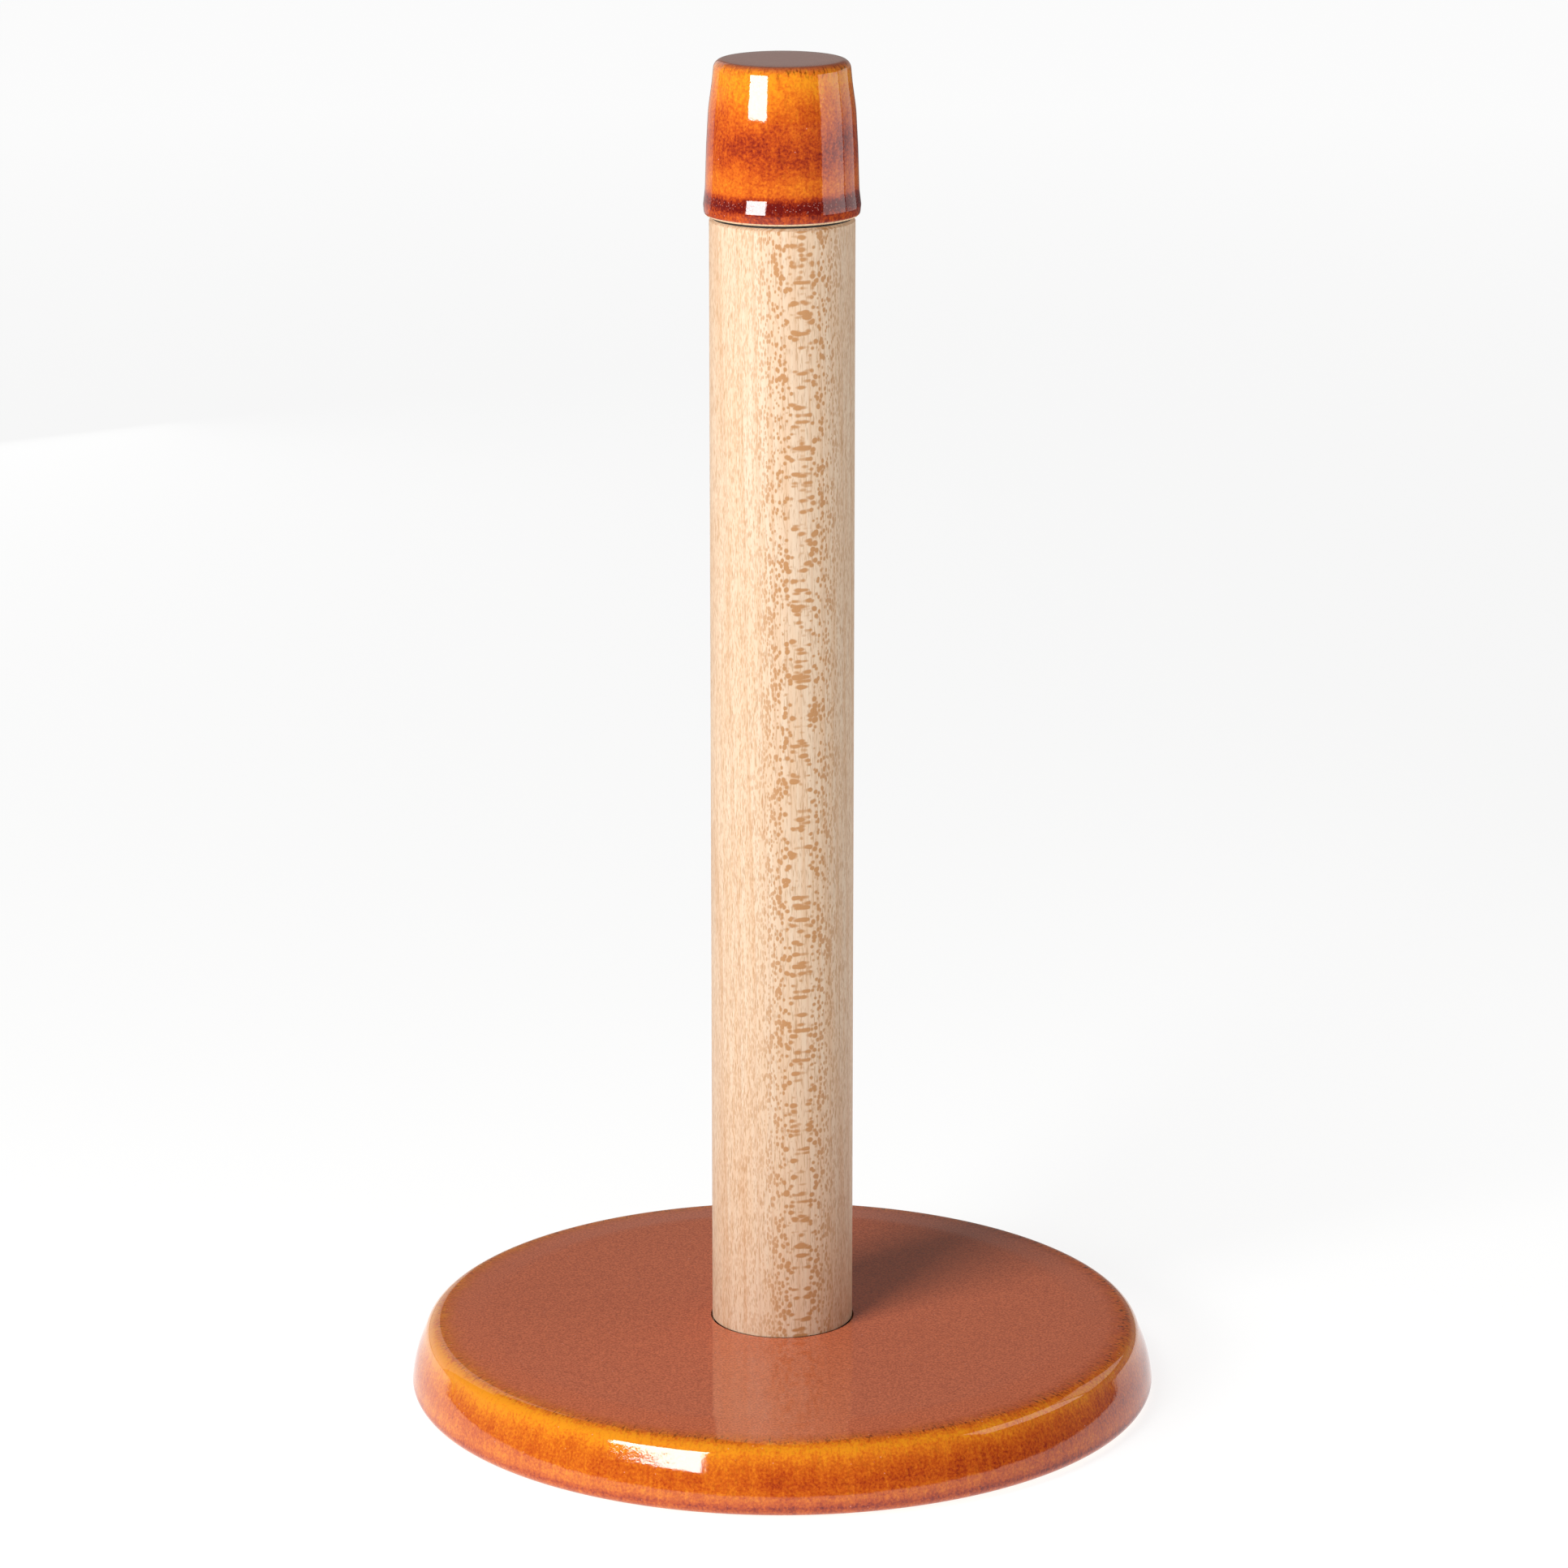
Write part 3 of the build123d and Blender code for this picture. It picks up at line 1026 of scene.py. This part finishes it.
@dataclass
class StonewareCap:
    """The thick thimble on the post's tenon, with a bead above its bare lip.

    Heights are above the lip. barrel gives a radius, a height and a rounding at each place down the
    swelling side, side_depth gives the glaze's depth by height, and top_level gives how level the
    crown is by radius.
    """

    segments: int = 224
    curve_step: float = 0.5
    bead_step: float = 0.4
    flat_radius: float = 11.5
    crown_radius: float = 14.8
    crown_drop: float = 0.1
    crown_rounding: float = 2.0
    barrel: tuple[Sizes, ...] = ((15.3, 29.0, 14.0), (16.1, 23.2, 40.0), (16.55, 15.0, 60.0))
    neck_radius: float = 16.85
    neck_height: float = 5.6
    neck_rounding: float = 6.0
    bead_radius: float = 17.25
    bead_height: float = 2.3
    bead_rounding: float = 1.8
    lip_radius: float = 17.0
    lip_rounding: float = 0.9
    lip_wipe_height: float = 0.45
    bore_radius: float = 12.3
    bore_depth: float = 25.4
    mouth_rounding: float = 0.5
    bore_rounding: float = 1.8
    bore_wipe_edge: float = 0.4
    round_within: float = 0.6
    crown_zone: float = 2.5
    side_depth: Stops = (
        (0.5, 0.66),
        (1.8, 0.68),
        (2.6, 0.82),
        (3.4, 1.0),
        (4.6, 0.96),
        (5.6, 0.72),
        (6.6, 0.42),
        (8.5, 0.38),
        (11.5, 0.54),
        (14.5, 0.68),
        (18.0, 0.70),
        (21.0, 0.54),
        (24.0, 0.40),
        (27.5, 0.24),
        (31.0, 0.04),
        (33.2, 0.2),
        (34.0, 0.5),
    )
    top_level: Stops = ((12.4, 1.0), (13.6, 0.7), (14.6, 0.3), (15.1, 0.0))
    out_of_round: Wear = Wear.CAST
    lobes: Lobes = ((2, 1.0, 1.9), (5, 0.4, 0.0))
    glaze: BreakingGlaze = BreakingGlaze(
        "cap_glaze",
        rim_radius=17.0,
        level="#BF7052",
        level_shade="#A4573C",
        # painted shade: the cap's glaze is made a little darker towards the right
        shade_to_right=0.05,
        cloud_mm=6.0,
        cloud_share=0.7,
    )
    low: float = field(init=False)
    high: float = field(init=False)

    def __post_init__(self) -> None:
        """Takes the heights of the cap's lip and crown from the frame, once."""
        self.low, self.high = (corner.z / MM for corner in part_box("stoneware_cap"))

    def outline(self) -> list[Corner]:
        """The half section, from the crown down the side and up the bore.

        Returns:
            Its corners.
        """
        low, high = self.low, self.high
        bore_top = low + self.bore_depth
        return [
            Corner(0, high),
            Corner(self.flat_radius, high, 0, self.curve_step),
            Corner(self.crown_radius, high - self.crown_drop, self.crown_rounding, self.curve_step),
            *(
                Corner(radius, low + height, rounding, self.curve_step)
                for radius, height, rounding in self.barrel
            ),
            Corner(self.neck_radius, low + self.neck_height, self.neck_rounding, self.bead_step),
            Corner(self.bead_radius, low + self.bead_height, self.bead_rounding, self.bead_step),
            Corner(self.lip_radius, low, self.lip_rounding, self.curve_step),
            Corner(self.bore_radius, low, self.mouth_rounding),
            Corner(self.bore_radius, bore_top, self.bore_rounding),
            Corner(0, bore_top),
        ]

    def coat(self, radius: float, height: float) -> tuple[float, float]:
        """How the glaze lies at a place.

        Args:
            radius: the distance from the axis, in millimetres.
            height: the height, in millimetres.

        Returns:
            The glaze's depth, and how level the face is.
        """
        level = along_stops(self.top_level, radius) if height > self.high - self.crown_zone else 0.0
        return along_stops(self.side_depth, height - self.low), level

    def unevenness(self, angle: float, radius: float) -> float:
        """The cap's side is a little out of round, and its bore is true.

        Args:
            angle: the direction, in radians.
            radius: the turned radius, in millimetres.

        Returns:
            The change of radius, in millimetres.
        """
        if radius <= self.bore_radius + self.round_within:
            return 0.0
        return self.out_of_round.value * lobed(angle, self.lobes)

    def is_bare(self, centre: Vector) -> bool:
        """Tells whether a face is on the wiped lip or in the bore.

        Args:
            centre: the face's centre, in millimetres.

        Returns:
            Whether it is unglazed.
        """
        radius = math.hypot(centre.x, centre.y)
        on_lip = centre.z < self.low + self.lip_wipe_height
        bore_edge = self.bore_radius + self.bore_wipe_edge
        return on_lip or (radius < bore_edge and centre.z < self.low + self.bore_depth + HAIR)

    def build(self, clay: Material) -> None:
        """Builds and dresses the cap.

        Args:
            clay: the bare clay.
        """
        rings = rounded_outline(self.outline())
        piece = lathe("stoneware_cap_glazed", rings, self.segments, self.coat, self.unevenness)
        split_bare(piece, self.glaze.material(), clay, self.is_bare)
        place_piece(piece, "stoneware_cap")


@dataclass
class BeechPost:
    """The turned dowel."""

    beech: OiledBeech = OiledBeech()

    def build(self) -> None:
        """Dresses the post."""
        dress_node("beech_post", self.beech.material())


@dataclass
class SmallParts:
    """Everything between and under the three big pieces: fasteners, gaskets, rings, bond and feet.

    Zinc plating is bright and bluish, and turned brass is a warm yellow. The rubber is matt black, the
    silicone is milky and the adhesive is a dull cream.
    """

    steel: SmallPart = SmallPart(
        "zinc_plated_steel", "#C9CCD0", "#A9ADB3", roughness=0.3, metallic=1.0, grain_mm=0.3
    )
    brass: SmallPart = SmallPart(
        "turned_brass", "#D9B463", "#B98F42", roughness=0.28, metallic=1.0, grain_mm=0.3
    )
    rubber: SmallPart = SmallPart(
        "black_rubber", "#26241F", "#1A1916", roughness=0.7, grain_mm=0.5, relief_mm=0.01
    )
    silicone: SmallPart = SmallPart(
        "clear_silicone", "#D9D8D2", "#C8C6BE", roughness=0.4, grain_mm=0.8, relief_mm=0.006
    )
    tape: SmallPart = SmallPart(
        "acrylic_tape", "#E8E4D8", "#D6D0C0", roughness=0.6, grain_mm=0.6, relief_mm=0.006
    )

    def build(self) -> None:
        """Dresses each small node by the record's slot for it."""
        finishes = {
            "zinc_steel": self.steel.material(),
            "brass": self.brass.material(),
            "rubber": self.rubber.material(),
            "silicone": self.silicone.material(),
            "tape": self.tape.material(),
        }
        for part in frame["record"]["subparts"]:
            if part["material_slot"] in finishes:
                dress_node(part["node"], finishes[part["material_slot"]])


@dataclass(frozen=True)
class Softbox:
    """One soft light, in metres, watts and degrees. Its azimuth goes round from the front to the right.

    size is its width and height, aim is the height that it faces, and seen tells whether glossy
    surfaces mirror it.
    """

    name: str
    azimuth: float
    distance: float
    height: float
    size: tuple[float, float]
    power: float
    aim: float
    seen: Seen = Seen.IN_GLOSS

    def hang(self) -> None:
        """Hangs the light, out of the camera's sight."""
        data = bpy.data.lights.new(self.name, "AREA")
        data.shape = "RECTANGLE"
        data.size, data.size_y = self.size
        data.energy = self.power
        lamp = bpy.data.objects.new(self.name, data)
        bpy.context.scene.collection.objects.link(lamp)
        turn = math.radians(self.azimuth)
        lamp.location = (self.distance * math.sin(turn), -self.distance * math.cos(turn), self.height)
        towards = Vector((0, 0, self.aim)) - lamp.location
        lamp.rotation_euler = towards.to_track_quat("-Z", "Y").to_euler()
        lamp.visible_camera = False
        lamp.visible_glossy = self.seen is Seen.IN_GLOSS


@dataclass
class Studio:
    """A pale floor, soft light and the camera. Lengths in metres, angles in degrees.

    The key makes the window-shaped highlight, the panels put a sheen on the sides, and the high key
    fills without being mirrored. Each glow span gives the floor's glow by distance from the post, and
    room_span and sky_stops give the room's light towards the back and upwards.
    """

    floor_half: float = 15.0
    floor_colour: str = "#8E8E8D"
    floor_roughness: float = 0.9
    glow_span: Span = Span(0.3, 2.0, 0.84, 0.95)
    mirrored_glow_span: Span = Span(0.35, 0.8, 0.95, 0.1)
    room_colour: str = "#FFFDFA"
    room_span: Span = Span(-0.3, 0.8, 0.05, 0.34)
    sky_stops: Stops = ((0.0, 1.0), (0.15, 1.0), (0.27, 0.55), (0.6, 0.2), (1.0, 0.1))
    backdrop_colour: str = "#FBFBFA"
    overhead_strength: float = 0.02
    overhead_spread: float = 120.0
    lens_mm: float = 133.6
    sensor_mm: float = 36.0
    camera_aside: float = 0.0004
    camera_distance: float = 1.258
    camera_height: float = 0.479
    camera_pitch: float = 14.98
    camera_reach: float = 100.0
    softboxes: tuple[Softbox, ...] = (
        Softbox("key", -38.5, 0.92, 0.405, size=(0.5, 0.20), power=6.3, aim=0.1),
        Softbox("high_key", -38.5, 0.6, 0.9, size=(0.35, 0.35), power=3.8, aim=0.1, seen=Seen.FILL_ONLY),
        Softbox("right_panel", 83, 0.5, 0.285, size=(0.4, 0.24), power=0.54, aim=0.28),
        Softbox("right_back_panel", 122, 0.5, 0.285, size=(0.27, 0.24), power=0.17, aim=0.28),
        Softbox("left_back_panel", -148, 1.0, 0.4, size=(0.75, 0.8), power=0.9, aim=0.2),
    )

    def floor(self) -> None:
        """Lays the pale floor: a lit acrylic table, whose glow keeps its shadows faint.

        Mirrored rays see the glow fade away from the post, so that the glaze mirrors a floor that ends.
        """
        half = self.floor_half
        corners = [(-half, -half, 0), (half, -half, 0), (half, half, 0), (-half, half, 0)]
        mesh = bpy.data.meshes.new("floor")
        mesh.from_pydata(corners, [], [(0, 1, 2, 3)])
        floor = bpy.data.objects.new("floor", mesh)
        bpy.context.scene.collection.objects.link(floor)
        material, tree = new_material("lit_table")
        place = add_node(tree, "TexCoord").outputs["Object"]
        away = add_node(tree, "VectorMath", {"operation": "LENGTH"}, {0: place}).outputs["Value"]
        seen = add_node(tree, "MapRange", self.glow_span.settings(), {"Value": away}).outputs[0]
        mirrored = add_node(tree, "MapRange", self.mirrored_glow_span.settings(), {"Value": away}).outputs[0]
        in_gloss = add_node(tree, "LightPath").outputs["Is Glossy Ray"]
        glow = add_node(tree, "Mix", {}, {0: in_gloss, 2: seen, 3: mirrored}).outputs[0]
        finish_surface(
            tree,
            {
                "Base Color": linear(self.floor_colour),
                "Roughness": self.floor_roughness,
                "Specular IOR Level": 0.0,
                "Emission Color": linear("#FFFFFF"),
            },
            {"Emission Strength": glow},
        )
        mesh.materials.append(material)

    def surroundings(self) -> None:
        """Sets a dim room, dark in front and overhead and grey behind. The camera sees a pale backdrop."""
        world = bpy.data.worlds.new("studio")
        bpy.context.scene.world = world
        world.use_nodes = True
        tree = world.node_tree
        tree.nodes.clear()
        direction = add_node(tree, "TexCoord").outputs["Generated"]
        split = add_node(tree, "SeparateXYZ", {}, {"Vector": direction}).outputs
        back = add_node(tree, "MapRange", self.room_span.settings(), {"Value": split["Y"]}).outputs[0]
        low = add_node(tree, "ValToRGB", {"stops": self.sky_stops}, {"Fac": split["Z"]}).outputs["Color"]
        total = add_node(tree, "Math", {"operation": "MULTIPLY"}, {0: back, 1: low}).outputs[0]
        tint = {"Color": linear(self.room_colour)}
        room = add_node(tree, "Background", tint, {"Strength": total}).outputs[0]
        tint = {"Color": linear(self.backdrop_colour), "Strength": 1.0}
        pale = add_node(tree, "Background", tint).outputs[0]
        to_camera = add_node(tree, "LightPath").outputs["Is Camera Ray"]
        mixed = add_node(tree, "MixShader", {}, {0: to_camera, 1: room, 2: pale}).outputs[0]
        add_node(tree, "OutputWorld", {}, {"Surface": mixed})

    def overhead(self) -> None:
        """Adds the broad, shadowless fill from above, which no glaze mirrors."""
        data = bpy.data.lights.new("overhead", "SUN")
        data.energy = self.overhead_strength
        data.angle = math.radians(self.overhead_spread)
        lamp = bpy.data.objects.new("overhead", data)
        bpy.context.scene.collection.objects.link(lamp)
        lamp.visible_glossy = False

    def camera(self) -> None:
        """Sets the camera in front, looking down at the holder."""
        data = bpy.data.cameras.new("camera")
        data.lens = self.lens_mm
        data.sensor_width = self.sensor_mm
        data.clip_end = self.camera_reach
        camera = bpy.data.objects.new("camera", data)
        camera.location = (self.camera_aside, -self.camera_distance, self.camera_height)
        camera.rotation_euler = (math.radians(90 - self.camera_pitch), 0, 0)
        bpy.context.scene.collection.objects.link(camera)
        bpy.context.scene.camera = camera

    def build(self) -> None:
        """Builds the studio."""
        self.floor()
        self.surroundings()
        for softbox in self.softboxes:
            softbox.hang()
        self.overhead()
        self.camera()
        bpy.context.scene.view_settings.view_transform = "Standard"


def main() -> None:
    logging.basicConfig(level=logging.INFO, format="%(message)s")
    clay = BareClay().material()
    StonewareBase().build(clay)
    BeechPost().build()
    StonewareCap().build(clay)
    SmallParts().build()
    Studio().build()


if __name__ == "__main__":
    main()
